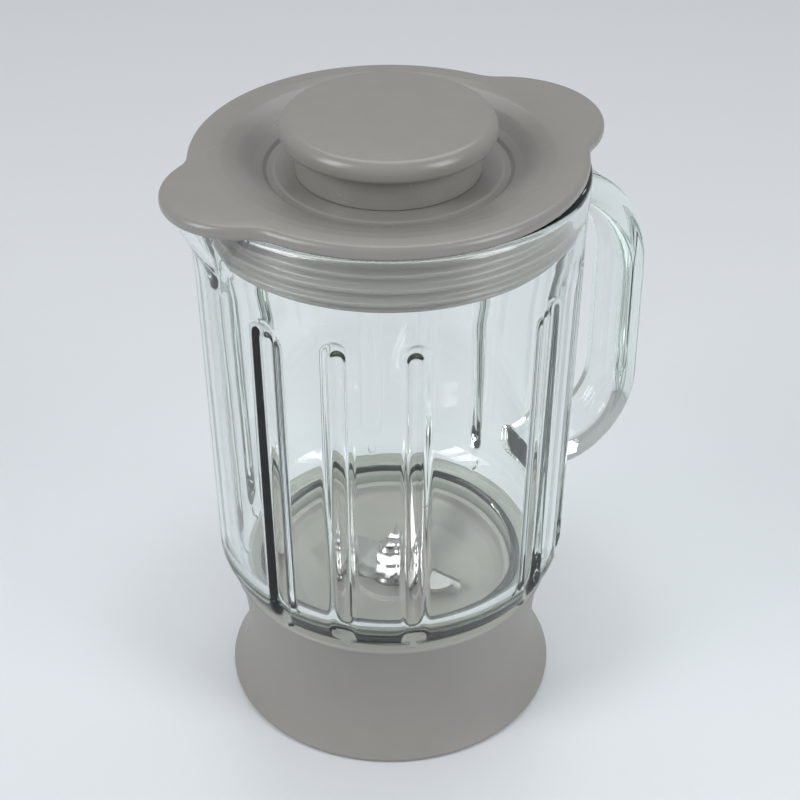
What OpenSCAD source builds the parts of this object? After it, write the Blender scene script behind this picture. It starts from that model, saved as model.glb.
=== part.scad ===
// Glass blender jug with its lid, filler cap, screw-on base and blade unit.
// The jug's axis is Z, the spout points to -X and the handle to +X.
// Z = 0 is the surface that the base stands on.

/* [Glass jug] */
// Outer diameter of the glass just under its rim
jug_rim_d = 134.8; // [132:0.2:140]
// Outer diameter of the glass where the shoulder starts
jug_low_d = 129; // [126:0.2:131]
// Height of the glass from the base's rim to its own rim
jug_h = 165; // [140:1:190]
// Wall of the glass at the rim
rim_wall = 4.9; // [4.4:0.1:5.6]
// Wall of the glass above the shoulder
low_wall = 5.8; // [5:0.1:6.6]
// Height of the rounded shoulder
shoulder_h = 14.5; // [12:0.5:18]
// Outer diameter of the neck that goes into the base
neck_d = 102.8; // [100:0.2:104]
// Wall of the neck
neck_wall = 4.6; // [3.8:0.1:5.2]

/* [Flutes] */
// Angle between neighbouring flutes
flute_step = 22.5; // [20:0.5:24]
// Depth of the outer groove and height of the rib behind it
flute_depth = 2.5; // [1.5:0.1:3]
// Radius of the outer groove's section
groove_r = 6.2; // [5:0.1:7]
// Radius of the inner rib's section
rib_r = 4.5; // [4:0.1:5]
// Distance from the glass rim down to the flutes' round ends
flute_drop = 30; // [26:1:45]

/* [Spout and handle] */
// Distance from the axis to the spout's tip
spout_reach = 79.4; // [76:0.2:82]
// Radius of the spout's rim
spout_r = 21.8; // [19:0.2:24]
// Height of the spout's outer cone
spout_h = 27; // [20:1:34]
// Distance from the axis to the grip's outer face
handle_reach = 105; // [98:1:112]
// Thickness of the handle, measured away from the jug
handle_t = 10.6; // [9:0.2:13]
// Width of the handle
handle_w = 21; // [17:0.5:25]
// Rounding of the handle's long edges
handle_round = 3.6; // [2:0.2:4.4]
// Outer radius of the handle's upper bend
top_bend_r = 52; // [44:1:56]
// Outer radius of the handle's lower bend
low_bend_r = 33.4; // [28:0.2:38]
// Distance from the glass rim down to the top of the handle
handle_drop = 15; // [12:1:22]
// Height of the straight grip
grip_h = 47; // [30:1:60]

/* [Lid] */
// Diameter of the lid plate
lid_d = 134; // [132:0.2:140]
// Thickness of the lid plate
lid_t = 4.6; // [3.6:0.1:6]
// Distance from the axis to the tip of the lobe over the spout
spout_lobe_reach = 81; // [80:0.2:84]
// Radius of the lobe over the spout
spout_lobe_r = 27; // [24:0.5:29]
// Distance from the axis to the tip of the thumb lobe
thumb_lobe_reach = 80.2; // [77:0.2:84]
// Radius of the thumb lobe
thumb_lobe_r = 33; // [28:0.5:36]
// Radius of the hollow blends beside the lobes
blend_r = 16; // [10:1:20]
// Depth of the dish round the cap
dish_depth = 6.6; // [5:0.2:8]
// Wall under the dish and in the skirt
lid_wall = 2.6; // [2:0.1:3.2]
// Depth of the skirt below the plate
skirt_h = 21.5; // [19:0.5:26]

/* [Lid seal] */
// Number of sealing fins
fin_count = 3; // [2:1:3]
// Distance between fins
fin_pitch = 5.1; // [4.4:0.1:5.4]
// Thickness of a fin at its root
fin_t = 2; // [1.4:0.1:2.4]
// Gap between the fins and the glass
fin_gap = 0.3; // [0.2:0.05:0.5]

/* [Filler cap] */
// Diameter of the cap's disc
cap_d = 72.4; // [68:0.2:76]
// Thickness of the cap's disc
cap_t = 7.4; // [6:0.2:9]
// Diameter of the cap's neck
cap_neck_d = 62.8; // [60:0.2:65]
// Height of the neck above the dish
cap_neck_h = 11.3; // [8:0.1:14]
// Diameter of the plug that goes into the lid
cap_plug_d = 56.4; // [52:0.2:58]
// Depth of the plug below the dish
cap_plug_h = 15; // [10:0.5:18]
// Wall of the cap
cap_wall = 2.6; // [2:0.1:3.2]

/* [Base] */
// Diameter of the foot
foot_d = 124; // [122:0.5:130]
// Diameter at the waist
waist_d = 110.4; // [110:0.2:113]
// Diameter of the base's rim
base_rim_d = 119.6; // [118:0.2:124]
// Height of the base
base_h = 53.4; // [52:0.2:58]
// Height of the waist above the ground
waist_h = 25.5; // [22:0.5:28]
// Height of the foot's upright edge
foot_lip = 1.6; // [1.2:0.1:2.5]
// Wall of the base
base_wall = 2.2; // [1.8:0.1:2.4]
// Inner diameter of the socket that fits over the machine's outlet
socket_d = 76; // [70:0.5:80]
// Number of ribs under the base
base_ribs = 8; // [6:2:12]

/* [Bayonet] */
// Number of lugs on the glass, and on the base
lug_count = 4; // [3:1:4]
// Angle that one lug takes
lug_angle = 28; // [20:1:32]
// How far a lug stands out
lug_d = 1.5; // [1.2:0.1:1.6]
// Height of a lug
lug_h = 3.2; // [2.6:0.2:3.6]

/* [Blade unit] */
// Thickness of the carrier's clamped flange
flange_t = 3; // [2.4:0.1:3.6]
// Thickness of the sealing ring
ring_t = 2.5; // [2:0.1:3]
// Height of the carrier's rim above its flange
carrier_h = 14.5; // [13:0.5:16]
// Wall of the carrier
carrier_wall = 2.6; // [2:0.1:3]
// Diameter of the hub
hub_d = 28; // [26:0.5:32]
// Height of the hub
hub_h = 19; // [18:0.5:22]
// Diameter of the bushes and of the lip seal
bush_d = 14; // [13:0.2:16]
// Diameter of the drive shaft
shaft_d = 8; // [7:0.2:8.4]
// Diameter of the threaded stud on top of the shaft
stud_d = 6; // [5:0.2:6.4]
// Radius that the blade tips sweep
blade_reach = 30; // [26:0.5:33]
// Width of a blade at its root
blade_w = 13; // [11:0.5:15]
// Thickness of the blades
blade_t = 1.6; // [1.2:0.1:2]
// Angle that the upper blade's arms are bent up
upper_bend = 38; // [30:1:48]
// Angle that the lower blade's arms are bent down
lower_bend = 5; // [2:1:7]
// Height of the steel spacer under the blades
spacer_h = 4; // [3:0.5:5]
// Outer diameter of the drive dog
dog_d = 34; // [30:0.5:40]
// Number of teeth on the drive dog
dog_teeth = 6; // [4:1:6]

/* [Hidden] */
$fn = 96;

// Clearances: rest is between faces that lie on each other, fit round what is dropped in,
// run round the shaft and press round what is pushed in
rest = 0.1;
fit = 0.4;
run = 0.03;
press = 0.02;
steps = 8;

plastic = [0.56, 0.55, 0.53];
dark_rubber = [0.18, 0.18, 0.19];
steel = [0.78, 0.79, 0.80];
brass = [0.80, 0.66, 0.36];

// Base
foot_r = foot_d / 2;
waist_r = waist_d / 2;
base_rim_r = base_rim_d / 2;
flare_r = arc_radius(waist_h - foot_lip, foot_r - waist_r);
rise_r = arc_radius(base_h - waist_h, base_rim_r - waist_r);
flare_a = asin((waist_h - foot_lip) / flare_r);
rise_a = asin((base_h - waist_h) / rise_r);
socket_r = socket_d / 2;
socket_wall = 2.5;
neck_r = neck_d / 2;
bayonet_r = neck_r + lug_d + fit;
ledge_t = 3;
ledge_z = 32.5;
mouth_chamfer = 4.4;
lip_round = 1.1;
rib_t = 1.8;
rib_lift = 7;
socket_lug_h = 4;

// Stack that the neck clamps
flange_z = ledge_z;
ring_z = flange_z + flange_t;
neck_z = ring_z + ring_t + rest;
neck_in_r = neck_r - neck_wall;
carrier_r = neck_in_r - fit;
jug_lug_z = neck_z + 1.6;
base_lug_z = jug_lug_z + lug_h + fit;

// Glass
rim_r = jug_rim_d / 2;
low_r = jug_low_d / 2;
rim_z = base_h + jug_h;
shoulder_z = base_h + shoulder_h;
shoulder_drop = 15.4;
shoulder_r = arc_radius(shoulder_drop, low_r - neck_r);
shoulder_a = asin(shoulder_drop / shoulder_r);
bore_r = rim_r - rim_wall;
low_in_r = low_r - low_wall;
bore_z = rim_z - 24.4;
floor_z = shoulder_z + 4;
inner_drop = 15;
inner_r = arc_radius(inner_drop, low_in_r - neck_in_r);
inner_a = asin(inner_drop / inner_r);
rim_round = 2.6;
bead_z = rim_z - 13;
outer_tilt = atan((rim_r - low_r) / (bead_z - shoulder_z));
inner_tilt = atan((bore_r - low_in_r) / (bore_z - floor_z));
groove_z = rim_z - flute_drop - sqrt(pow(groove_r, 2) - pow(groove_r - flute_depth, 2));
flutes = [1, 2, 3, 5, 6, 7];
pip_r = 2;

// Spout and handle
spout_x = spout_reach - spout_r;
spout_wall = 4.4;
spout_low_r = 8;
grip_x = handle_reach - handle_t / 2;
top_z = rim_z - handle_drop;
top_c_x = handle_reach - top_bend_r;
low_c_x = handle_reach - low_bend_r;
grip_top_z = top_z - top_bend_r;
grip_low_z = grip_top_z - grip_h;

// Lid, its seal and the cap
plate_z = rim_z + rest;
plate_top = plate_z + lid_t;
lid_r = lid_d / 2;
dish_z = plate_top - dish_depth;
dish_r = lid_r - 7;
ring_out_r = 42.5;
ring_in_r = 38;
seat_r = cap_neck_d / 2;
skirt_r = bore_r - 4.5;
skirt_z = plate_z - skirt_h;
bead_h = 1.6;
bead_d = 1.8;
seal_r = skirt_r + 2.2;
fin_r = bore_r - fin_gap;
seal_z = skirt_z + bead_h + rest;
seal_top = plate_z - 2.6;
cap_plug_r = cap_plug_d / 2;
hole_r = cap_plug_r + fit;
tube_h = 12;
cap_z = dish_z + rest;
cap_r = cap_d / 2;
cap_disc_z = cap_z + cap_neck_h;
cap_top = cap_disc_z + cap_t;
cap_round = 3.4;

// Blade unit
hub_r = hub_d / 2;
hub_top = flange_z + 8.5;
hub_z = hub_top - hub_h;
carrier_top = ring_z + carrier_h;
bowl_r = 16;
bowl_z = hub_top - 1.5;
bush_r = bush_d / 2;
lip_h = 4.5;
bush_h = 7.5;
web_t = 1.5;
shaft_r = shaft_d / 2;
stud_r = stud_d / 2;
thrust_z = hub_top + rest;
washer_t = 1;
spacer_z = thrust_z + washer_t + rest;
lower_z = spacer_z + spacer_h;
upper_z = lower_z + blade_t;
lock_z = upper_z + blade_t;
nut_z = lock_z + washer_t;
nut_h = 3.6;
nut_flats = 10;
dome_h = 2.6;
blade_hub_r = 8;
grind_w = 2.6;
grind_a = 24;
clip_t = 0.8;
low_washer_z = hub_z - rest - washer_t;
clip_z = low_washer_z - rest - clip_t;
dog_top = clip_z - 0.6;
dog_plate_t = 4;
dog_tooth_h = 9;
dog_hub_r = 8;
shaft_low = dog_top - 8;

// Radius of an arc that starts upright and moves sideways by side over the height rise
function arc_radius(rise, side) = (pow(rise, 2) + pow(side, 2)) / (2 * side);

// Points of an arc round centre c from angle a0 to a1
function arc(c, r, a0, a1, n = steps) =
    [for (i = [0:n]) [c[0] + r * cos(a0 + (a1 - a0) * i / n), c[1] + r * sin(a0 + (a1 - a0) * i / n)]];

// Outer radius of the glass shoulder at height z
function shoulder_at(z) = low_r - shoulder_r + sqrt(pow(shoulder_r, 2) - pow(shoulder_z - z, 2));

module turned(points) {
    rotate_extrude() polygon(points);
}

// A flat ring from radius r1 to r2, h high
module washer(r1, r2, h) {
    turned([[r1, 0], [r2, 0], [r2, h], [r1, h]]);
}

// Rectangle with round corners, centred
module round_rect(w, h, r) {
    corners = [[1, 1, 0], [-1, 1, 90], [-1, -1, 180], [1, -1, 270]];
    polygon([for (k = corners) each arc([k[0] * (w / 2 - r), k[1] * (h / 2 - r)], r, k[2], k[2] + 90, 4)]);
}

module base_lug(z) {
    for (k = [0:lug_count - 1])
        rotate(k * 360 / lug_count - lug_angle / 2)
            translate([0, 0, z])
                rotate_extrude(angle = lug_angle)
                    translate([bayonet_r - lug_d, 0])
                        square([lug_d + 0.6, lug_h]);
}

// Shell of the base: a trumpet foot, a waist and an open mouth for the neck
module base_shell() {
    c_low = [waist_r + flare_r, waist_h];
    c_up = [waist_r + rise_r, waist_h];
    in_low = arc(c_low, flare_r + base_wall, 180, 180 + flare_a);
    turned(concat(
        [[foot_r, 0]],
        arc(c_low, flare_r, 180 + flare_a, 180),
        arc(c_up, rise_r, 180 - rise_a / steps, 180 - rise_a * 0.96, steps - 2),
        arc([base_rim_r - lip_round, base_h - lip_round], lip_round, 0, 90, 4),
        [[bayonet_r + mouth_chamfer - 1, base_h],
         [bayonet_r, base_h - mouth_chamfer],
         [bayonet_r, ledge_z],
         [socket_r, ledge_z],
         [socket_r, 0],
         [socket_r + socket_wall, 0],
         [socket_r + socket_wall, ledge_z - ledge_t],
         [waist_r - base_wall, ledge_z - ledge_t]],
        in_low,
        [[foot_r - base_wall, 0]]));
}

module under_ribs() {
    intersection() {
        for (k = [0:base_ribs - 1])
            rotate((k + 0.5) * 360 / base_ribs)
                translate([socket_r + 1, -rib_t / 2, rib_lift])
                    cube([foot_r - socket_r, rib_t, ledge_z - rib_lift - 1]);
        c_low = [waist_r + flare_r, waist_h];
        turned(concat(
            [[0, 0], [foot_r - 0.8, 0]],
            arc(c_low, flare_r + 0.8, 180 + flare_a, 180),
            [[waist_r - 0.8, ledge_z - 1], [0, ledge_z - 1]]));
    }
}

module socket_lugs() {
    for (k = [0:3])
        rotate(k * 90 - 9)
            translate([0, 0, ledge_z - ledge_t - socket_lug_h])
                rotate_extrude(angle = 18)
                    translate([socket_r - 2.5, 0])
                        square([3, socket_lug_h]);
}

module base() {
    color(plastic) {
        base_shell();
        under_ribs();
        socket_lugs();
        base_lug(base_lug_z);
    }
}

// Dished carrier: a clamped flange, a rim inside the neck, a bowl and a hub for the bushes
module blade_carrier() {
    flange_r = bayonet_r - fit;
    color(plastic)
    difference() {
        turned(concat(
            [[0, hub_z],
             [hub_r - 3, hub_z],
             [hub_r - 1.5, hub_top - 6],
             [carrier_r - 9, flange_z + 1.6],
             [carrier_r - 5, flange_z],
             [flange_r, flange_z],
             [flange_r, ring_z],
             [carrier_r, ring_z]],
            arc([carrier_r - 0.9, carrier_top - 0.9], 0.9, 0, 180, 6),
            [[carrier_r - carrier_wall, carrier_top - 4],
             [carrier_r - 5.5, bowl_z + 4.6],
             [carrier_r - 12, bowl_z + 1.6],
             [bowl_r + 5, bowl_z + 0.3],
             [bowl_r, bowl_z],
             [hub_r, bowl_z],
             [hub_r - 0.8, hub_top],
             [0, hub_top]]));
        translate([0, 0, hub_top - lip_h - bush_h])
            cylinder(h = lip_h + bush_h + 1, r = bush_r);
        translate([0, 0, hub_z - 1])
            cylinder(h = bush_h - web_t + 1, r = bush_r);
        translate([0, 0, hub_z - 1])
            cylinder(h = hub_h + 2, r = shaft_r + 1.2);
    }
}

module sealing_ring() {
    color(dark_rubber)
        translate([0, 0, ring_z])
            washer(carrier_r + fit / 2, neck_r + 0.6, ring_t);
}

// Outer form of the glass: neck, round shoulder, slightly conical wall and rim bead
module glass_outside() {
    c = [low_r - shoulder_r, shoulder_z];
    turned(concat(
        [[0, neck_z], [neck_r - 0.8, neck_z], [neck_r, neck_z + 0.8]],
        arc(c, shoulder_r, -shoulder_a, 0),
        [[rim_r, bead_z], [rim_r + 0.5, bead_z + 4]],
        arc([rim_r + 0.5 - rim_round, rim_z - rim_round], rim_round, 0, 90, 6),
        [[0, rim_z]]));
}

module glass_inside() {
    c = [low_in_r - inner_r, floor_z];
    turned(concat(
        [[0, neck_z - 1], [neck_in_r, neck_z - 1]],
        arc(c, inner_r, -inner_a, 0),
        [[bore_r, bore_z], [bore_r, rim_z - 1.8], [bore_r + 1.2, rim_z + 1], [0, rim_z + 1]]));
}

module handle() {
    rotate([90, 0, 0]) {
        translate([top_c_x, grip_top_z])
            rotate_extrude(angle = 88)
                translate([top_bend_r - handle_t / 2, 0])
                    round_rect(handle_t, handle_w, handle_round);
        translate([low_c_x, grip_low_z])
            rotate_extrude(angle = 90, start = -90)
                translate([low_bend_r - handle_t / 2, 0])
                    round_rect(handle_t, handle_w, handle_round);
    }
    translate([grip_x, 0, grip_low_z])
        linear_extrude(grip_h)
            round_rect(handle_t, handle_w, handle_round);
    translate([low_c_x, 0, grip_low_z - low_bend_r + handle_t / 2])
        rotate([0, -90, 0])
            linear_extrude(low_c_x - low_in_r)
                round_rect(handle_t, handle_w, handle_round);
}

// A round-ended bar that leans with the wall: x is its distance from the axis at height z
module leaning_bar(x, z, top, r, tilt) {
    translate([x, 0, z])
        rotate([0, tilt, 0]) {
            cylinder(h = top - z, r = r);
            translate([0, 0, top - z])
                sphere(r = r);
        }
}

// Repeats its children at every flute, which leave the scale's panels free on both sides
module at_flutes() {
    for (side = [-1, 1])
        for (k = flutes)
            rotate(180 + side * k * flute_step)
                children();
}

module glass_jug() {
    groove_x = low_r + groove_r - flute_depth;
    rib_x = low_in_r + rib_r - flute_depth;
    rib_top = groove_z - 5;
    pip_z = base_h + 3.2;
    color([0.80, 0.88, 0.86, 0.5])
    difference() {
        union() {
            difference() {
                union() {
                    glass_outside();
                    translate([-spout_x, 0, rim_z - spout_h])
                        cylinder(h = spout_h, r1 = spout_low_r, r2 = spout_r);
                    handle();
                }
                glass_inside();
                translate([-spout_x, 0, rim_z - spout_h])
                    cylinder(h = spout_h + 1, r1 = spout_low_r - spout_wall, r2 = spout_r - spout_wall);
            }
            at_flutes()
                leaning_bar(rib_x, floor_z - 5, rib_top, rib_r, inner_tilt);
            at_flutes()
                translate([shoulder_at(pip_z) - pip_r + 0.6, 0, pip_z])
                    sphere(r = pip_r, $fn = 24);
            for (k = [0:lug_count - 1])
                rotate(k * 360 / lug_count - lug_angle / 2)
                    translate([0, 0, jug_lug_z])
                        rotate_extrude(angle = lug_angle)
                            translate([neck_r - 1, 0])
                                square([lug_d + 1, lug_h]);
        }
        at_flutes()
            leaning_bar(groove_x, shoulder_z - 16, groove_z, groove_r, outer_tilt);
    }
}

// Centre of the hollow blend between the lid's round edge and a lobe of radius r centred at x = d
function blend_x(r, d) = (pow(lid_r + blend_r, 2) - pow(r + blend_r, 2) + pow(d, 2)) / (2 * d);
function blend_y(r, d) = sqrt(pow(lid_r + blend_r, 2) - pow(blend_x(r, d), 2));

// One side of the lid's outline: a lobe of radius r that reaches to reach, with its blends
function lobe(r, reach) =
    let (d = reach - r,
         x = blend_x(r, d),
         y = blend_y(r, d),
         turn = atan2(y, x - d),
         meet = atan2(y, x))
    concat(
        arc([x, -y], blend_r, 180 - meet, 180 - turn, 6),
        arc([d, 0], r, -turn, turn, 16),
        arc([x, y], blend_r, 180 + turn, 180 + meet, 6));

function lobe_angle(r, reach) = atan2(blend_y(r, reach - r), blend_x(r, reach - r));

module lid_outline() {
    thumb_a = lobe_angle(thumb_lobe_r, thumb_lobe_reach);
    spout_a = lobe_angle(spout_lobe_r, spout_lobe_reach);
    edge = arc([0, 0], lid_r, thumb_a, 180 - spout_a, 24);
    polygon(concat(
        lobe(thumb_lobe_r, thumb_lobe_reach),
        [for (i = [1:len(edge) - 2]) edge[i]],
        [for (q = lobe(spout_lobe_r, spout_lobe_reach)) [-q[0], -q[1]]],
        [for (i = [len(edge) - 2:-1:1]) [edge[i][0], -edge[i][1]]]));
}

// Plate with two lobes, dished round the filler hole, and a hollow skirt below
module lid() {
    color(plastic)
    difference() {
        union() {
            translate([0, 0, plate_z])
                linear_extrude(lid_t)
                    lid_outline();
            turned([[0, dish_z - tube_h],
                    [hole_r + lid_wall, dish_z - tube_h],
                    [hole_r + lid_wall, dish_z - lid_wall],
                    [ring_out_r, dish_z - lid_wall + 0.4],
                    [skirt_r - lid_wall, plate_z - 1.6],
                    [skirt_r - lid_wall, skirt_z],
                    [skirt_r + bead_d, skirt_z],
                    [skirt_r + bead_d, skirt_z + bead_h],
                    [skirt_r, skirt_z + bead_h],
                    [skirt_r, plate_z + 1],
                    [0, plate_z + 1]]);
        }
        turned([[0, dish_z],
                [seat_r + 1.2, dish_z],
                [ring_in_r, dish_z + 0.2],
                [ring_in_r + 0.8, dish_z - 0.3],
                [ring_out_r - 1.6, dish_z - 0.2],
                [ring_out_r - 0.4, dish_z + 0.7],
                [ring_out_r + 2.5, dish_z + 1.7],
                [ring_out_r + 8, plate_top - 2.5],
                [dish_r - 4.5, plate_top - 0.7],
                [dish_r, plate_top - 0.1],
                [dish_r + 2, plate_top + 1],
                [0, plate_top + 1]]);
        translate([0, 0, dish_z - tube_h - 1])
            cylinder(h = tube_h + lid_t + dish_depth, r = hole_r);
    }
}

// Rubber band round the skirt with its sealing fins
module lid_seal() {
    fin = fin_t / 2;
    fins = [for (k = [0:fin_count - 1]) seal_z + 2.6 + k * fin_pitch];
    color([0.50, 0.49, 0.47])
        turned(concat(
            [[skirt_r + press, seal_z], [seal_r, seal_z]],
            [for (z = fins) each [[seal_r, z - fin], [fin_r, z - 0.4], [fin_r, z + 0.3], [seal_r, z + fin]]],
            [[seal_r, seal_top], [skirt_r + press, seal_top]]));
}

// Hollow filler cap: a disc to hold, a neck that rests on the lid and a plug in the hole
module filler_cap() {
    well_r = cap_plug_r - cap_wall;
    color(plastic)
        turned(concat(
            [[well_r, cap_z - cap_plug_h],
             [cap_plug_r - 0.8, cap_z - cap_plug_h],
             [cap_plug_r, cap_z - cap_plug_h + 2],
             [cap_plug_r, cap_z],
             [seat_r, cap_z],
             [seat_r, cap_disc_z]],
            arc([cap_r - 1.8, cap_disc_z + 1.8], 1.8, -90, 0, 4),
            arc([cap_r - cap_round, cap_top - cap_round], cap_round, 10, 88, 6),
            [[0, cap_top],
             [0, cap_top - cap_wall - 0.4],
             [well_r - 2, cap_top - cap_wall - 0.4],
             [well_r, cap_top - cap_wall - 2.4]]));
}

module shaft_lip_seal() {
    color(dark_rubber)
        translate([0, 0, hub_top - lip_h])
            turned([[shaft_r + run * 2, 0], [bush_r - press, 0], [bush_r - press, lip_h - 0.3],
                    [shaft_r + 1.6, lip_h - 0.3], [shaft_r + 0.6, lip_h - 1.6], [shaft_r + run * 2, lip_h - 1.6]]);
}

module upper_bush() {
    color(brass)
        translate([0, 0, hub_top - lip_h - bush_h])
            washer(shaft_r + run, bush_r - press, bush_h - rest);
}

module lower_bush() {
    color(brass)
        translate([0, 0, hub_z])
            washer(shaft_r + run, bush_r - press, bush_h - web_t - rest);
}

// Shaft with a stud for the blades and a groove for the circlip
module drive_shaft() {
    groove_in = shaft_r - 0.8;
    color(steel)
        turned([[0, shaft_low],
                [shaft_r - 0.5, shaft_low],
                [shaft_r, shaft_low + 0.5],
                [shaft_r, clip_z - press],
                [groove_in, clip_z - press],
                [groove_in, clip_z + clip_t + press],
                [shaft_r, clip_z + clip_t + press],
                [shaft_r, spacer_z],
                [stud_r, spacer_z],
                [stud_r, nut_z + nut_h + 0.4],
                [stud_r - 0.6, nut_z + nut_h + 1],
                [0, nut_z + nut_h + 1]]);
}

module thrust_washer() {
    color(brass)
        translate([0, 0, thrust_z])
            washer(shaft_r + run, bush_r, washer_t);
}

module blade_spacer() {
    color(steel)
        translate([0, 0, spacer_z])
            washer(stud_r + press, shaft_r + 1.8, spacer_h);
}

// Side view of a blade: a flat middle of half length root, and two arms bent up by bend degrees
module blade_strip(root, reach, bend) {
    inner = root - blade_t * tan(bend / 2);
    tip = [root + reach * cos(bend), reach * sin(bend)];
    tip_top = tip + [-blade_t * sin(bend), blade_t * cos(bend)];
    polygon([[-tip[0], tip[1]], [-root, 0], [root, 0], tip,
             tip_top, [inner, blade_t], [-inner, blade_t], [-tip_top[0], tip_top[1]]]);
}

// Seen from above, one side of a blade: a curved trailing edge, a narrow tip, the straight
// leading edge and the round hub between the arms
function blade_side(lead) =
    let (tip_w = blade_w * 0.34,
         curve = blade_reach * 0.33,
         hub_a = asin(lead / blade_hub_r),
         centre = [blade_reach - curve - 3.5, -lead + curve])
    concat(
        [[blade_hub_r, -lead]],
        arc(centre, curve, -80, -8, 5),
        [[blade_reach, lead - tip_w], [blade_reach - 2.5, lead]],
        arc([0, 0], blade_hub_r, hub_a, 180 - hub_a, 6));

// Two arms in one piece of sheet, ground to an edge on their leading sides
module blade_pair(bend) {
    root = blade_hub_r + 1.5;
    lead = blade_w / 2;
    side = blade_side(lead);
    difference() {
        intersection() {
            rotate([90, 0, 0])
                translate([0, 0, -blade_w])
                    linear_extrude(2 * blade_w)
                        blade_strip(root, blade_reach, bend);
            translate([0, 0, -blade_reach])
                linear_extrude(2 * blade_reach)
                    polygon(concat(side, [for (q = side) -q]));
        }
        for (a = [0, 180])
            rotate(a)
                translate([root, 0, 0])
                    rotate([0, -bend, 0])
                        translate([2.5, lead - grind_w, blade_t])
                            rotate([-grind_a, 0, 0])
                                cube([blade_reach * 1.5, blade_w, blade_w]);
        translate([0, 0, -1])
            cylinder(h = blade_t + 2, r = stud_r + press);
    }
}

module lower_blade() {
    color(steel)
        translate([0, 0, lower_z])
            rotate(118)
                blade_pair(-lower_bend);
}

module upper_blade() {
    color(steel)
        translate([0, 0, upper_z])
            rotate(28)
                blade_pair(upper_bend);
}

module lock_washer() {
    color(steel)
        translate([0, 0, lock_z])
            washer(stud_r + press, nut_flats / 2 + 0.8, washer_t);
}

// Domed nut on the stud
module blade_nut() {
    across = nut_flats / cos(30);
    color(steel)
        translate([0, 0, nut_z])
            difference() {
                union() {
                    cylinder(h = nut_h, d = across, $fn = 6);
                    translate([0, 0, nut_h])
                        turned(concat(
                            [[0, -1], [nut_flats / 2 - 0.3, -1]],
                            [for (a = [0:15:90]) [(nut_flats / 2 - 0.3) * cos(a), dome_h * sin(a)]]));
                }
                translate([0, 0, -1])
                    cylinder(h = nut_h + 2.2, r = stud_r + press);
            }
}

module lower_washer() {
    color(brass)
        translate([0, 0, low_washer_z])
            washer(shaft_r + run, bush_r, washer_t);
}

// Split ring in the shaft's groove
module circlip() {
    color(steel)
        translate([0, 0, clip_z])
            difference() {
                washer(shaft_r - 0.7, shaft_r + 1.4, clip_t);
                translate([shaft_r - 2, -1.4, -1])
                    cube([4, 2.8, clip_t + 2]);
            }
}

// Toothed dog on the lower end of the shaft that the machine drives
module drive_dog() {
    dog_r = dog_d / 2;
    color(dark_rubber)
        difference() {
            union() {
                translate([0, 0, dog_top - dog_plate_t])
                    cylinder(h = dog_plate_t, r = dog_r);
                translate([0, 0, dog_top - dog_plate_t - 5])
                    cylinder(h = 6, r = dog_hub_r);
                for (k = [0:dog_teeth - 1])
                    rotate(k * 360 / dog_teeth)
                        translate([dog_hub_r + 1.6, -2, dog_top - dog_plate_t - dog_tooth_h])
                            cube([dog_r - dog_hub_r - 2.4, 4, dog_tooth_h + 1]);
            }
            translate([0, 0, shaft_low - rest])
                cylinder(h = 20, r = shaft_r + press);
        }
}

base();
blade_carrier();
sealing_ring();
glass_jug();
lid();
lid_seal();
filler_cap();
shaft_lip_seal();
upper_bush();
lower_bush();
drive_shaft();
thrust_washer();
blade_spacer();
lower_blade();
upper_blade();
lock_washer();
blade_nut();
lower_washer();
circlip();
drive_dog();
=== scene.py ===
# %% [markdown]
# # A glass blender jug with its lid, filler cap, base and blades
#
# The imported CAD model is the frame: it says where each body is and how it moves. This file
# dresses it. The big pieces are modelled again with finer curves, and the small steel and
# rubber pieces keep their CAD shape and get a finish.

# %% Load the frame
import math

import bpy
import numpy as np
from mathutils import Matrix, Vector


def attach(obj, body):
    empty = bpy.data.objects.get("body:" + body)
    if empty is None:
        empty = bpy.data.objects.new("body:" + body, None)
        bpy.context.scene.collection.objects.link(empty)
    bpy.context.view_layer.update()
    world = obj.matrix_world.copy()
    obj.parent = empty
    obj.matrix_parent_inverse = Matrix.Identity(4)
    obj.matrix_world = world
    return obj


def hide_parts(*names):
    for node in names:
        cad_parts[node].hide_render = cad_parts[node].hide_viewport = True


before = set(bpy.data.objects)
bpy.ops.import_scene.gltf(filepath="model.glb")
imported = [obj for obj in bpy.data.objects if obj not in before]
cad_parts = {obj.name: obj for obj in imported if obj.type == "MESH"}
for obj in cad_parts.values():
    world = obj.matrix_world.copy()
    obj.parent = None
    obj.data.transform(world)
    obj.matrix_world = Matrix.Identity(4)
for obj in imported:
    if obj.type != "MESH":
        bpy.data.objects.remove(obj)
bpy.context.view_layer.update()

MM = 0.001

# %% [markdown]
# ## Camera, floor and light
#
# The photograph looks down at the jug from the front left with a long lens. The camera is set
# by its place, the three angles of its turn and its lens. The floor is plain and pale, and a
# pale world and two wide soft lamps in front give the long soft highlights on the plastic.

# %% Camera
bpy.ops.object.select_all(action="DESELECT")
bpy.ops.object.camera_add(
    location=(-0.27954, -0.48418, 0.50905),
    rotation=[math.radians(a) for a in (55.2624, 0.0156, -30.3946)])
camera = bpy.context.object
camera.name = "camera"
camera.data.sensor_width = 36
camera.data.lens = 84.453
scene = bpy.context.scene
scene.camera = camera
scene.view_settings.view_transform = "Standard"
scene.cycles.max_bounces = 24
scene.cycles.transmission_bounces = 24
scene.cycles.transparent_max_bounces = 24
print("camera:", [round(v, 3) for v in camera.location], "lens", camera.data.lens)


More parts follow.
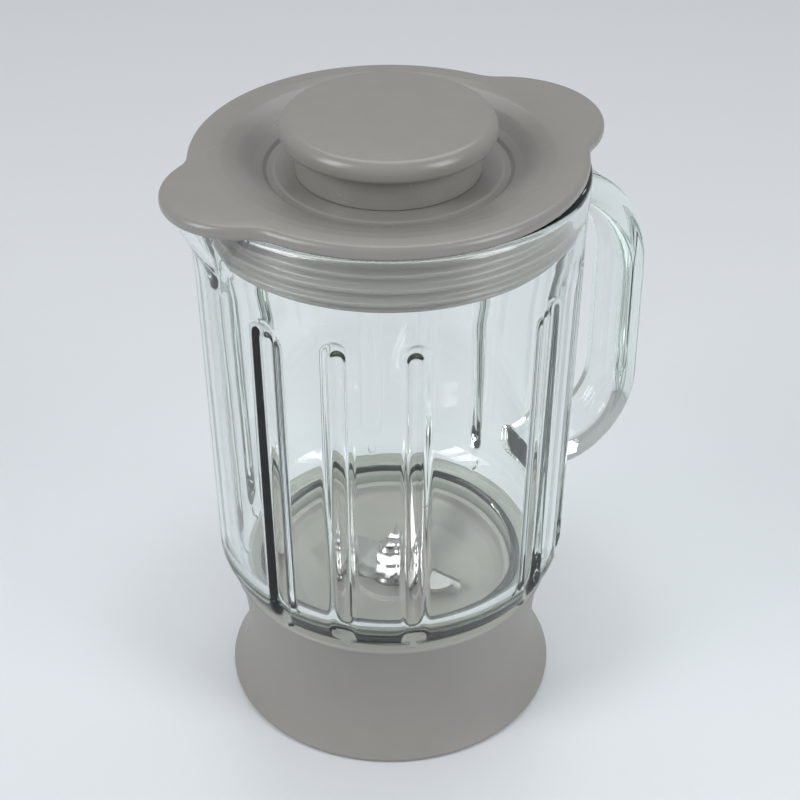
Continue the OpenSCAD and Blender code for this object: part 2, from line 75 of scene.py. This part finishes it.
# %% Lamps
# A lamp is placed by its angle beside the camera's side, its height angle and its distance.
def softbox(name, beside, above, distance, width, height, power):
    turn, rise = math.radians(-120 + beside), math.radians(above)
    middle = Vector((0, 0, 0.12))
    place = middle + distance * Vector((math.cos(turn) * math.cos(rise),
                                        math.sin(turn) * math.cos(rise), math.sin(rise)))
    bpy.ops.object.light_add(type="AREA", location=place)
    lamp = bpy.context.object
    lamp.name = name
    lamp.rotation_euler = (middle - place).to_track_quat("-Z", "Y").to_euler()
    lamp.data.shape = "RECTANGLE"
    lamp.data.size, lamp.data.size_y = width, height
    lamp.data.energy = power
    return lamp


softbox("lamp_left", -62, 34, 1.3, 0.5, 0.9, 9)
softbox("lamp_right", 58, 30, 1.3, 0.5, 0.9, 8)
softbox("lamp_back", 170, 60, 1.4, 1.0, 0.7, 5)


# %% [markdown]
# ## A small kit for materials
#
# A finish is a tree of nodes. Two helpers keep it readable: Value wraps the output of a node,
# so that sums on it read as plain maths, and Finish adds any node with its settings and inputs.

# %% Node helpers
class Value:
    def __init__(self, tree, socket):
        self.tree, self.socket = tree, socket

    def math(self, operation, other, swap=False):
        node = self.tree.nodes.new("ShaderNodeMath")
        node.operation = operation
        for socket, value in zip(node.inputs, (other, self) if swap else (self, other)):
            feed(self.tree, socket, value)
        return Value(self.tree, node.outputs[0])

    def __add__(self, other): return self.math("ADD", other)
    def __radd__(self, other): return self.math("ADD", other, True)
    def __sub__(self, other): return self.math("SUBTRACT", other)
    def __rsub__(self, other): return self.math("SUBTRACT", other, True)
    def __mul__(self, other): return self.math("MULTIPLY", other)
    def __rmul__(self, other): return self.math("MULTIPLY", other, True)


def feed(tree, socket, value):
    if isinstance(value, Value):
        tree.links.new(value.socket, socket)
    else:
        socket.default_value = value


class Finish:
    def __init__(self, name):
        self.material = bpy.data.materials.new(name)
        self.material.use_nodes = True
        self.tree = self.material.node_tree
        self.tree.nodes.clear()

    def add(self, kind, settings=None, inputs=None, output=0):
        node = self.tree.nodes.new("ShaderNode" + kind)
        for name, value in (settings or {}).items():
            if name == "stops":
                ends = node.color_ramp.elements
                for k, (place, colour) in enumerate(value):
                    stop = ends[k] if k < 2 else ends.new(place)
                    stop.position, stop.color = place, colour
            else:
                setattr(node, name, value)
        for name, value in (inputs or {}).items():
            feed(self.tree, node.inputs[name], value)
        return Value(self.tree, node.outputs[output] if node.outputs else None)

    def coordinates(self):
        return self.add("TexCoord", output=3)

    def noise(self, scale, detail=2.0, vector=None):
        place = vector or self.coordinates()
        return self.add("TexNoise", inputs={"Vector": place, "Scale": scale, "Detail": detail})


print("node helpers ready")

# %% [markdown]
# ## Moulded plastic
#
# The lid and cap are warm mid-grey polypropylene, glossy but with a trace of unevenness that
# a mould leaves. The base has a satin spark finish. Both are one recipe: a colour that drifts
# a little between two near greys, a roughness that drifts with it, and a very fine bump.

# %% Plastic and rubber finishes
def plastic(name, dark, light, roughness, drift, grain, grain_size, coat=0.0, mottle=90):
    finish = Finish(name)
    cloud = finish.noise(mottle, 3.0)
    fine = finish.noise(grain_size, 2.0)
    colour = finish.add("Mix", {"data_type": "RGBA"},
                        {"Factor": cloud, "A": (*dark, 1), "B": (*light, 1)}, 2)
    bump = finish.add("Bump", inputs={"Strength": grain, "Distance": 0.0002, "Height": fine})
    shader = finish.add("BsdfPrincipled", inputs={
        "Base Color": colour, "Roughness": roughness + (cloud - 0.5) * drift,
        "Normal": bump, "Coat Weight": coat, "Coat Roughness": 0.12, "IOR": 1.49})
    finish.add("OutputMaterial", inputs={"Surface": shader})
    return finish.material


lid_grey = plastic("lid_grey", (0.243, 0.236, 0.220), (0.262, 0.254, 0.238), 0.26, 0.08, 0.05, 2600)
base_grey = plastic("base_grey", (0.262, 0.252, 0.236), (0.285, 0.275, 0.257), 0.40, 0.06, 0.10, 3000)
seal_grey = plastic("seal_grey", (0.235, 0.229, 0.214), (0.25, 0.243, 0.228), 0.38, 0.08, 0.08, 2200)
black_rubber = plastic("black_rubber", (0.018, 0.018, 0.019), (0.03, 0.03, 0.031), 0.55, 0.12, 0.2, 1800)
print("plastics:", [m.name for m in (lid_grey, base_grey, seal_grey, black_rubber)])

# %% [markdown]
# ## Metal
#
# The blades are ground stainless steel: a fine grain, stretched along the sheet, that shows in
# the roughness and the bump. The nut and the spacer are brighter turned steel, and the bushes
# and washers below are bronze.

# %% Metal finishes
def metal(name, colour, roughness, drift, stretch, grain):
    finish = Finish(name)
    place = finish.add("Mapping", inputs={"Vector": finish.coordinates(), "Scale": stretch})
    lines = finish.noise(1.0, 4.0, place)
    cloud = finish.noise(160, 2.0)
    darker = tuple(0.86 * c for c in colour)
    shade = finish.add("Mix", {"data_type": "RGBA"},
                       {"Factor": lines, "A": (*darker, 1), "B": (*colour, 1)}, 2)
    bump = finish.add("Bump", inputs={"Strength": grain, "Distance": 0.0002, "Height": lines})
    shader = finish.add("BsdfPrincipled", inputs={
        "Base Color": shade, "Metallic": 1.0, "Normal": bump,
        "Roughness": roughness + (lines - 0.5) * drift + (cloud - 0.5) * drift})
    finish.add("OutputMaterial", inputs={"Surface": shader})
    return finish.material


blade_steel = metal("blade_steel", (0.66, 0.66, 0.65), 0.24, 0.12, (900, 900, 6000), 0.12)
bright_steel = metal("bright_steel", (0.74, 0.74, 0.73), 0.14, 0.08, (700, 700, 5000), 0.05)
bronze = metal("bronze", (0.62, 0.43, 0.22), 0.32, 0.12, (900, 900, 3000), 0.1)
print("metals:", [m.name for m in (blade_steel, bright_steel, bronze)])

# %% [markdown]
# ## Glass
#
# The jug is pressed soda glass: clear, with a trace of green that only shows where the light
# goes a long way through it, as at the rim. A volume absorption gives that, because it tints
# by thickness. Pressed glass is never quite flat, so a wide, very weak bump bends what is
# behind it a little. Lamps would not shine through plain refraction in a still picture, so for
# shadow rays the glass is mixed with a transparent shader.

# %% Glass finish
def clear_glass(name, roughness, wave, density):
    finish = Finish(name)
    swell = finish.noise(34, 1.0)
    bump = finish.add("Bump", inputs={"Strength": wave, "Distance": 0.002, "Height": swell})
    body = finish.add("BsdfPrincipled", inputs={
        "Base Color": (0.985, 0.995, 0.99, 1), "Roughness": roughness, "Normal": bump,
        "Transmission Weight": 1.0, "IOR": 1.5})
    through = finish.add("BsdfTransparent", inputs={"Color": (0.93, 0.95, 0.94, 1)})
    shadow = finish.add("LightPath", output=1)
    shader = finish.add("MixShader", inputs={"Fac": shadow})
    mix = shader.socket.node
    finish.tree.links.new(body.socket, mix.inputs[1])
    finish.tree.links.new(through.socket, mix.inputs[2])
    absorb = finish.add("VolumeAbsorption", inputs={"Color": (0.62, 0.86, 0.74, 1), "Density": density})
    finish.add("OutputMaterial", inputs={"Surface": shader, "Volume": absorb})
    return finish.material


jug_glass = clear_glass("jug_glass", 0.0, 0.04, 9.0)
print("glass:", jug_glass.name)


# %% [markdown]
# ## Turned shapes
#
# The lid, cap, seal, carrier, base and jug are all round about one axis. Each starts as one
# vertex that is extruded from corner to corner of its section, and is then spun round the
# axis. The corners are given with their rounding, and rounded_outline works out the points.

# %% Outline and spin helpers
def rounded_outline(corners, steps=4):
    """Points of a closed section from its corners, each (radius, height, rounding) in mm."""
    points = []
    for k, (x, z, rounding) in enumerate(corners):
        here = complex(x, z)
        before = complex(*corners[k - 1][:2]) - here
        after = complex(*corners[(k + 1) % len(corners)][:2]) - here
        u, v = before / abs(before), after / abs(after)
        half = abs(np.angle(v / u)) / 2
        if rounding == 0 or half > math.radians(89.5):
            points.append((x, z))
            continue
        reach = min(rounding / math.tan(half), 0.49 * abs(before), 0.49 * abs(after))
        centre = here + (u + v) / abs(u + v) * (reach / math.cos(half))
        start = here + u * reach - centre
        sweep = np.angle((here + v * reach - centre) / start)
        for i in range(steps + 1):
            p = centre + start * np.exp(1j * sweep * i / steps)
            points.append((p.real, p.imag))
    return points


def blank(name):
    """A new mesh object that is one vertex at the origin, in edit mode."""
    bpy.ops.object.select_all(action="DESELECT")
    bpy.ops.mesh.primitive_plane_add(size=0.001, location=(0, 0, 0))
    bpy.context.object.name = bpy.context.object.data.name = name
    bpy.ops.object.mode_set(mode="EDIT")
    bpy.ops.mesh.merge(type="CENTER")
    return bpy.context.object


def turned(name, points, columns=256):
    """Draws the closed section through points (radius, height) in mm and spins it."""
    obj = blank(name)
    last = (0.0, 0.0)
    for k, p in enumerate(list(points) + [points[0]]):
        step = ((p[0] - last[0]) * MM, 0, (p[1] - last[1]) * MM)
        if k == 0:
            bpy.ops.transform.translate(value=step)
        else:
            bpy.ops.mesh.extrude_vertices_move(TRANSFORM_OT_translate={"value": step})
        last = p
    bpy.ops.mesh.select_all(action="SELECT")
    bpy.ops.mesh.spin(steps=columns, angle=2 * math.pi, center=(0, 0, 0), axis=(0, 0, 1))
    bpy.ops.mesh.select_all(action="SELECT")
    bpy.ops.mesh.remove_doubles(threshold=2e-6)
    bpy.ops.mesh.normals_make_consistent(inside=False)
    bpy.ops.object.mode_set(mode="OBJECT")
    return obj


def finished(obj, material, body, nodes=(), angle=35):
    """Smooths, paints and places a finished piece."""
    bpy.ops.object.select_all(action="DESELECT")
    obj.select_set(True)
    bpy.context.view_layer.objects.active = obj
    bpy.ops.object.shade_smooth_by_angle(angle=math.radians(angle))
    obj.data.materials.clear()
    obj.data.materials.append(material)
    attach(obj, body)
    if nodes:
        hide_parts(*nodes)
    print(obj.name, len(obj.data.polygons), "faces")
    return obj


# %% [markdown]
# ## Filler cap
#
# The cap is one hollow moulding: a thick disc with a full round edge, a straight neck that
# rests on the lid and a thinner plug that goes into the filler hole. Its top is bare.

# %% Filler cap
cap_corners = [
    (0, 235.3, 0), (36.2, 235.3, 3.6), (36.2, 227.9, 2.2), (31.4, 227.9, 0.9), (31.4, 216.6, 0.5),
    (28.2, 216.6, 0.3), (28.2, 203.4, 0.4), (27.4, 201.6, 0.4), (25.6, 201.6, 0.4),
    (25.6, 229.9, 1.0), (23.6, 232.3, 1.0), (0, 232.3, 0)]
cap = turned("cap", rounded_outline(cap_corners, 6))
finished(cap, lid_grey, "stopper", ["filler_cap"])

# %% [markdown]
# ## Lid
#
# The lid is turned too, with its dish, the groove round the cap, the tube for the filler hole
# and the skirt. Seen from above its edge isn't round: one lobe covers the spout and one gives
# the thumb a hold, and hollow blends lead into both. So after the spin each column of the
# plate's edge is moved out from the axis to that outline.

# %% Lid outline
LID_R = 67.0
BLEND_R = 16.0


def lobe_edge(lobe_r, reach, angles):
    """Distance from the axis to the lid's edge at angles measured from a lobe's middle."""
    d = reach - lobe_r
    x = ((LID_R + BLEND_R) ** 2 - (lobe_r + BLEND_R) ** 2 + d ** 2) / (2 * d)
    y = math.sqrt((LID_R + BLEND_R) ** 2 - x ** 2)
    turn, meet = math.atan2(y, x - d), math.atan2(y, x)
    lobe_end = d + lobe_r * np.exp(1j * turn)
    a = np.abs(angles)
    on_lobe = d * np.cos(a) + np.sqrt(np.maximum(lobe_r ** 2 - (d * np.sin(a)) ** 2, 0))
    middle = abs(complex(x, y))
    off = a - np.angle(complex(x, y))
    on_blend = middle * np.cos(off) - np.sqrt(np.maximum(BLEND_R ** 2 - (middle * np.sin(off)) ** 2, 0))
    return np.where(a < np.angle(lobe_end), on_lobe, np.where(a < meet, on_blend, LID_R))


def lid_edge(angles):
    """Distance from the axis to the lid's edge, for angles from the handle's side."""
    thumb = lobe_edge(33.0, 80.2, angles)
    spout = lobe_edge(27.0, 81.0, (angles + 2 * math.pi) % (2 * math.pi) - math.pi)
    return np.maximum(thumb, spout)


print("lid reaches", lid_edge(np.array([0.0, math.pi / 2, math.pi])).round(1), "mm")

# %% Lid
lid_corners = [
    (28.6, 204.5, 0.5), (28.6, 216.5, 0.6), (32.4, 216.5, 0.4), (38.0, 216.7, 0.5),
    (38.8, 216.2, 0.4), (40.9, 216.3, 0.5), (42.1, 217.2, 0.8), (45.0, 218.2, 3.0),
    (50.5, 220.6, 8.0), (55.8, 222.5, 8.0), (60.0, 223.1, 6.0), (67.0, 223.1, 2.2),
    (67.0, 218.5, 1.4), (63.0, 218.5, 0.0), (58.0, 218.5, 0.4), (58.0, 198.6, 0.3),
    (59.8, 198.6, 0.4), (59.8, 197.0, 0.7), (55.4, 197.0, 0.7), (55.4, 216.9, 1.5),
    (42.5, 214.3, 1.5), (31.2, 213.9, 1.0), (31.2, 204.5, 0.7)]
lid = turned("lid_plate", rounded_outline(lid_corners, 5), 384)
spots = np.empty(len(lid.data.vertices) * 3)
lid.data.vertices.foreach_get("co", spots)
spots = spots.reshape(-1, 3)
far = np.hypot(spots[:, 0], spots[:, 1])
out = lid_edge(np.arctan2(spots[:, 1], spots[:, 0])) * MM
share = np.clip((far - 0.0595) / (0.067 - 0.0595), 0, 1) * (spots[:, 2] > 0.218)
share = np.where(far > 0.0642, 1 - (0.067 - far) / (0.067 - 0.0595) * (0.067 - 0.0595) / (out - 0.0595), share)
stretched = np.where(share > 0, 0.0595 + (out - 0.0595) * share, far)
spots[:, :2] *= (np.maximum(stretched, far) / far)[:, None]
lid.data.vertices.foreach_set("co", spots.ravel())
lid.data.update()
finished(lid, lid_grey, "cover", ["lid"])

# %% [markdown]
# ## Lid seal
#
# A rubber band sits round the skirt. Its three fins press on the glass, and their rounded
# edges catch the light as three bright rings.

# %% Lid seal
seal_corners = [(58.02, 198.7, 0.3), (60.2, 198.7, 0.5)]
for z in (201.3, 206.4, 211.5):
    seal_corners += [(60.2, z - 1.0, 0.7), (62.2, z - 0.8, 0.5), (62.2, z + 0.6, 0.5), (60.2, z + 1.4, 0.9)]
seal_corners += [(60.2, 215.9, 0.5), (58.02, 215.9, 0.3)]
seal = turned("seal_band", rounded_outline(seal_corners, 4))
finished(seal, seal_grey, "cover", ["lid_seal"])

# %% [markdown]
# ## Glass jug
#
# The jug's body is spun from its section: the neck that goes into the base, the round
# shoulder, the slightly conical wall, the bead under the rim and the smooth bore. The rows of
# the mesh are close where the flutes end and wide where the wall is straight.

# %% Jug section
NECK_R, LOW_R, RIM_R, BORE_R, LOW_IN_R, NECK_IN_R = 51.4, 64.5, 67.4, 62.5, 58.7, 46.8
SHOULDER_Z, BEAD_Z, RIM_Z, FLOOR_Z, BORE_Z, NECK_Z = 67.9, 205.4, 218.4, 71.9, 194.0, 38.1


def arc_radius(rise, side):
    return (rise ** 2 + side ** 2) / (2 * side)


def bend(centre, radius, first, last, steps):
    angles = np.radians(np.linspace(first, last, steps + 1))
    return [(centre[0] + radius * math.cos(a), centre[1] + radius * math.sin(a)) for a in angles]


def wall(foot, head, heights):
    """Points on the straight line from foot to head at the given heights."""
    return [(foot[0] + (head[0] - foot[0]) * (z - foot[1]) / (head[1] - foot[1]), z) for z in heights]


outer_bend = arc_radius(15.4, LOW_R - NECK_R)
inner_bend = arc_radius(15.0, LOW_IN_R - NECK_IN_R)
outer_turn = math.degrees(math.asin(15.4 / outer_bend))
inner_turn = math.degrees(math.asin(15.0 / inner_bend))
up = [70, 74, 84, 96, 108, 120, 132, 144, 156, 166, 172, 175, 177, 178.5, 180, 181.2, 182.4,
      183.4, 184.3, 185.1, 185.9, 186.6, 187.3, 188, 188.8, 190, 191.4, 193, 195, 197, 199, 202]
down = [BORE_Z, 190, 187, 185, 183.5, 182.4, 181.4, 180.4, 179.4, 178.4, 177.2, 176, 174, 170,
        160, 148, 136, 124, 112, 100, 90, 82, 76]
section = [(NECK_IN_R, NECK_Z), (NECK_R - 0.8, NECK_Z), (NECK_R, NECK_Z + 0.8),
           (NECK_R, 39.6), (NECK_R, 39.8), (NECK_R, 42.8), (NECK_R, 43.0), (NECK_R, 48)]
section += bend((LOW_R - outer_bend, SHOULDER_Z), outer_bend, -outer_turn, 0, 18)
section += wall((LOW_R, SHOULDER_Z), (RIM_R, BEAD_Z), up)
section += [(RIM_R, BEAD_Z), (RIM_R + 0.15, 206.6), (RIM_R + 0.38, 208), (RIM_R + 0.5, 209.6),
            (RIM_R + 0.5, 212), (RIM_R + 0.5, 214)]
section += bend((RIM_R + 0.5 - 2.6, RIM_Z - 2.6), 2.6, 0, 90, 8)
section += bend((BORE_R + 1.2, RIM_Z - 1.2), 1.2, 90, 180, 6)
section += [(BORE_R, 215), (BORE_R, 212), (BORE_R, 208), (BORE_R, 204), (BORE_R, 200), (BORE_R, 197)]
section += wall((LOW_IN_R, FLOOR_Z), (BORE_R, BORE_Z), down)
section += bend((LOW_IN_R - inner_bend, FLOOR_Z), inner_bend, 0, -inner_turn, 14)
section += [(NECK_IN_R, 50), (NECK_IN_R, 44)]
jug = turned("jug", section, 512)
print("jug rows:", len(section), "vertices:", len(jug.data.vertices))

# %% [markdown]
# ## Flutes, ribs, pips and lugs
#
# Twelve flutes are pressed into the outside, each with a rib behind it, and two panels stay
# plain for the scales. A vertex group holds how far each vertex is pressed, and a Displace
# modifier moves the vertices along their normals by that much. The same way raises the small
# pips on the shoulder and the four lugs on the neck that turn under the base's lugs.

# %% Press depths
place = np.empty(len(jug.data.vertices) * 3)
jug.data.vertices.foreach_get("co", place)
place = place.reshape(-1, 3) / MM
px, py, pz = place.T
far = np.hypot(px, py)
round_angle = np.arctan2(py, px)
FLUTES = [math.radians(180 + side * 22.5 * k) for side in (-1, 1) for k in (1, 2, 3, 5, 6, 7)]
outside = (far > np.interp(pz, [38, 53, 60, 68, 219], [49.5, 49.5, 57.5, 61.5, 65.0]))
rim_share = np.clip((far - BORE_R - 1.2) / (RIM_R - 2.1 - BORE_R - 1.2), 0, 1)


def soft(depth, blend):
    """Zero below, depth above, with a round transition blend wide."""
    return np.maximum(depth, 0) + np.maximum(blend - np.abs(depth), 0) ** 2 / (4 * blend)


def nearest(angles):
    """Angle from each vertex to the nearest of the given angles."""
    off = (round_angle[:, None] - np.array(angles)[None, :] + math.pi) % (2 * math.pi) - math.pi
    return off[np.arange(len(off)), np.abs(off).argmin(1)]


def bar_surface(off, foot_x, foot_z, top_z, radius, lean):
    """Distance from the axis to a round-ended leaning bar, on its side towards the axis."""
    middle = foot_x + (np.clip(pz, foot_z, top_z) - foot_z) * math.tan(lean)
    beyond = np.maximum(pz - top_z, 0) + np.maximum(foot_z - pz, 0)
    thick = np.sqrt(np.maximum(radius ** 2 - beyond ** 2, 0))
    aside = middle * np.sin(off)
    hit = np.abs(aside) < thick
    reach = np.sqrt(np.maximum(thick ** 2 - aside ** 2, 0))
    edge = np.maximum(np.abs(aside) - thick, 0)
    return np.where(hit, middle * np.cos(off) - reach, middle + edge * 1.2)


off = nearest(FLUTES)
lean_out = math.atan((RIM_R - LOW_R) / (BEAD_Z - SHOULDER_Z))
lean_in = math.atan((BORE_R - LOW_IN_R) / (BORE_Z - FLOOR_Z))
groove = np.where(outside, soft(far - bar_surface(off, 68.2, 51.9, 183.4, 6.2, lean_out), 0.9), 0)
rib = np.where(outside, 0, soft(far - bar_surface(off, 60.7, 68.0, 178.4, 4.5, lean_in), 1.1))
pip = np.hypot(far * off, (pz - 56.6) * 1.1)
pip = np.where(outside & (pz < 62), np.sqrt(np.maximum(1.9 ** 2 - pip ** 2, 0)) * 0.75, 0)
lug_off = np.abs(nearest([math.radians(90 * k) for k in range(4)]))
lug = np.where(outside & (lug_off < math.radians(14)) & (pz > 39.7) & (pz < 42.9), 1.5, 0)
print("groove", groove.max().round(2), "rib", rib.max().round(2), "pip", pip.max().round(2), "mm")


# %% Press the glass
def press(obj, name, depths, direction, sign):
    """Moves vertices by depths (mm) along direction, by a weight group and a Displace modifier."""
    strength = float(depths.max())
    group = obj.vertex_groups.new(name=name)
    for k in np.flatnonzero(depths > 1e-4):
        group.add([int(k)], float(depths[k] / strength), "REPLACE")
    bpy.ops.object.select_all(action="DESELECT")
    obj.select_set(True)
    bpy.context.view_layer.objects.active = obj
    bpy.ops.object.modifier_add(type="DISPLACE")
    modifier = obj.modifiers[-1]
    modifier.direction, modifier.mid_level = direction, 0
    modifier.vertex_group, modifier.strength = name, sign * strength * MM
    bpy.ops.object.modifier_apply(modifier=modifier.name)
    obj.vertex_groups.remove(obj.vertex_groups[name])


press(jug, "grooves", groove, "NORMAL", -1)
press(jug, "ribs", rib, "NORMAL", 1)
press(jug, "pips", pip, "NORMAL", 1)
press(jug, "lugs", lug, "NORMAL", 1)
print("pressed", len(FLUTES), "flutes")

# %% [markdown]
# ## Spout
#
# The spout is a beak in the rim, drawn out of the hot glass. Its outside is part of a cone
# that widens upwards and its channel is a smaller one, so the vertices near it are pushed
# towards -X until they lie on those cones.

# %% Spout
SPOUT_X = -57.6


def pushed(radius):
    """How far a vertex moves towards -X to reach the cone with this radius at its height."""
    inside = np.abs(py) < radius
    target = SPOUT_X - np.sqrt(np.maximum(radius ** 2 - py ** 2, 0))
    return np.where(inside & (px < 0), soft(px - target, 2.6), 0)


cone = np.clip((pz - 191.4) / 27.0, 0, 1)
beak = pushed(np.where(pz > 191.4, 8 + 13.8 * cone, 0))
channel = pushed(np.where(pz > 191.4, 3.6 + 13.8 * cone, 0))
spout = np.where(pz > 216.0, rim_share * beak + (1 - rim_share) * channel, np.where(outside, beak, channel))
press(jug, "spout", spout, "X", -1)
print("spout reaches", round(float((px - spout).min()), 1), "mm")

# %% [markdown]
# ## Handle
#
# The handle is one bar with a rounded section. A rectangle is given round corners, and its
# face is then extruded straight where the handle is straight and spun round each bend. The
# ends widen a little where they melt into the wall. A union joins bar and body into one
# piece of glass, because light bends wrongly where two separate pieces of glass overlap.

# %% Handle bar
def carry_face(moves):
    """Carries the selected face along straight runs, round bends and through widenings."""
    for kind, *value in moves:
        if kind == "go":
            bpy.ops.mesh.extrude_region_move(
                TRANSFORM_OT_translate={"value": [v * MM for v in value]})
        elif kind == "turn":
            x, z, angle, steps = value
            bpy.ops.mesh.spin(steps=steps, angle=math.radians(angle),
                              center=(x * MM, 0, z * MM), axis=(0, 1, 0))
        else:
            bpy.ops.transform.resize(value=(value[0],) * 3)


bpy.ops.object.select_all(action="DESELECT")
bpy.ops.mesh.primitive_plane_add(size=1, location=(61.4 * MM, 0, 76.3 * MM),
                                 rotation=(0, math.pi / 2, 0))
handle = bpy.context.object
handle.name = handle.data.name = "handle_bar"
bpy.ops.object.transform_apply(location=True, rotation=True, scale=True)
bpy.ops.object.mode_set(mode="EDIT")
bpy.ops.transform.resize(value=(1, 21.0 * MM, 10.6 * MM))
bpy.ops.mesh.bevel(offset=3.6 * MM, offset_type="OFFSET", segments=7, affect="VERTICES")
carry_face([("size", 1.26), ("go", 3.2, 0, 0), ("size", 0.95), ("go", 1.2, 0, 0), ("size", 0.93),
            ("go", 1.6, 0, 0), ("size", 0.96), ("go", 2.2, 0, 0), ("size", 0.98),
            ("go", 2.0, 0, 0), ("turn", 71.6, 104.4, 90, 20), ("go", 0, 0, 47.0),
            ("turn", 53.0, 151.4, 52, 18)])
for widen in (1.02, 1.03, 1.05, 1.06):
    carry_face([("turn", 53.0, 151.4, 5, 1), ("size", widen)])
carry_face([("turn", 53.0, 151.4, 4, 1)])
bpy.ops.mesh.select_all(action="SELECT")
bpy.ops.mesh.remove_doubles(threshold=2e-6)
bpy.ops.mesh.select_all(action="DESELECT")
bpy.ops.mesh.select_interior_faces()
bpy.ops.mesh.delete(type="ONLY_FACE")
bpy.ops.mesh.select_all(action="SELECT")
bpy.ops.mesh.normals_make_consistent(inside=False)
bpy.ops.object.mode_set(mode="OBJECT")
spread = [round(v / MM, 1) for row in (handle.bound_box[0], handle.bound_box[6]) for v in row]
print("handle bar from", spread[:3], "to", spread[3:])


# %% Join the handle to the jug
def join_by_union(obj, other):
    """Boolean union of obj with other, which is removed."""
    bpy.ops.object.select_all(action="DESELECT")
    obj.select_set(True)
    bpy.context.view_layer.objects.active = obj
    bpy.ops.object.modifier_add(type="BOOLEAN")
    modifier = obj.modifiers[-1]
    modifier.operation, modifier.solver, modifier.object = "UNION", "EXACT", other
    bpy.ops.object.modifier_apply(modifier=modifier.name)
    bpy.data.objects.remove(other)


join_by_union(jug, handle)
print("jug with handle:", len(jug.data.vertices), "vertices")

# %% [markdown]
# ## Base
#
# The base is a collar: a trumpet foot, a waist, and a mouth that takes the jug's neck. Inside
# it a ledge carries the blade unit and a socket fits over the machine's outlet. It is hollow
# below, between the socket and the outer wall.

# %% Base shell
flare = arc_radius(23.9, 6.8)
rise = arc_radius(27.9, 4.6)
flare_turn = math.degrees(math.asin(23.9 / flare))
rise_turn = math.degrees(math.asin(27.9 / rise))
base_points = [(60.6, 0.0), (61.4, 0.15), (61.9, 0.7)]
base_points += bend((55.2 + flare, 25.5), flare, 180 + flare_turn, 180, 22)
base_points += bend((55.2 + rise, 25.5), rise, 180, 180 - rise_turn * 0.96, 22)[1:]
base_points += bend((59.8 - 1.1, 53.4 - 1.1), 1.1, 0, 90, 5)
base_points += [(56.7, 53.4), (56.3, 53.3), (53.5, 49.2), (53.3, 48.8), (53.3, 32.5), (38.0, 32.5),
                (38.0, 0.6), (38.6, 0.0), (39.9, 0.0), (40.5, 0.6), (40.5, 29.5), (53.0, 29.5)]
base_points += bend((55.2 + flare, 25.5), flare + 2.2, 180, 180 + flare_turn, 14)
base_points += [(59.8, 0.6)]
base = turned("base_collar", base_points, 256)
finished(base, base_grey, "base_unit", ["base"])

# %% [markdown]
# ## Blade carrier
#
# A dished grey moulding closes the jug's bottom. Its rim stands inside the neck, its bowl
# slopes down to the middle and its hub holds the shaft.

# %% Blade carrier
carrier_corners = [
    (5.2, 22.0, 0.3), (11.0, 22.0, 0.8), (12.5, 35.0, 1.0), (37.4, 34.1, 2.0), (41.4, 32.5, 0.8),
    (52.9, 32.5, 0.4), (52.9, 35.5, 0.4), (46.4, 35.5, 0.4), (46.4, 50.0, 0.9), (43.9, 50.0, 0.8),
    (43.8, 46.0, 2.5), (40.9, 44.1, 3.0), (34.4, 41.1, 6.0), (21.0, 39.8, 3.0), (16.0, 39.5, 0.8),
    (14.0, 39.5, 0.5), (13.2, 41.0, 0.7), (7.0, 41.0, 0.3), (7.0, 40.0, 0.0), (5.2, 40.0, 0.0)]
carrier = turned("carrier_bowl", rounded_outline(carrier_corners, 5))
finished(carrier, base_grey, "base_unit", ["blade_carrier"])

# %% Finish the jug
finished(jug, jug_glass, "goblet", ["glass_jug"], angle=50)

# %% [markdown]
# ## Steel, bronze and rubber parts
#
# These small parts are right as the CAD has them, so each keeps its CAD mesh and only gets
# its finish.

# %% Finishes of the small parts
small_parts = {
    "upper_blade": blade_steel, "lower_blade": blade_steel, "blade_spacer": bright_steel,
    "lock_washer": bright_steel, "blade_nut": bright_steel, "drive_shaft": bright_steel,
    "circlip": blade_steel, "thrust_washer": blade_steel, "lower_washer": bronze,
    "upper_bush": bronze, "lower_bush": bronze, "sealing_ring": black_rubber,
    "shaft_lip_seal": black_rubber, "drive_dog": black_rubber}
for name, material in small_parts.items():
    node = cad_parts[name]
    node.data.materials.clear()
    node.data.materials.append(material)
print("finished", len(small_parts), "small parts")

# %% [markdown]
# ## Floor and world
#
# The floor is a plain pale sheet with a slight gloss, and the world a plain pale grey.

# %% Floor and world
bpy.ops.object.select_all(action="DESELECT")
bpy.ops.mesh.primitive_plane_add(size=6, location=(0, 0, -0.0002))
floor = bpy.context.object
floor.name = "floor"
floor_finish = Finish("pale_floor")
floor_finish.add("OutputMaterial", inputs={"Surface": floor_finish.add("BsdfPrincipled", inputs={
    "Base Color": (0.70, 0.73, 0.77, 1), "Roughness": 0.3})})
floor.data.materials.append(floor_finish.material)
world = bpy.data.worlds.new("pale_world")
world.use_nodes = True
world.node_tree.nodes["Background"].inputs["Color"].default_value = (0.86, 0.87, 0.88, 1)
world.node_tree.nodes["Background"].inputs["Strength"].default_value = 0.46
scene.world = world
print("floor and world ready")
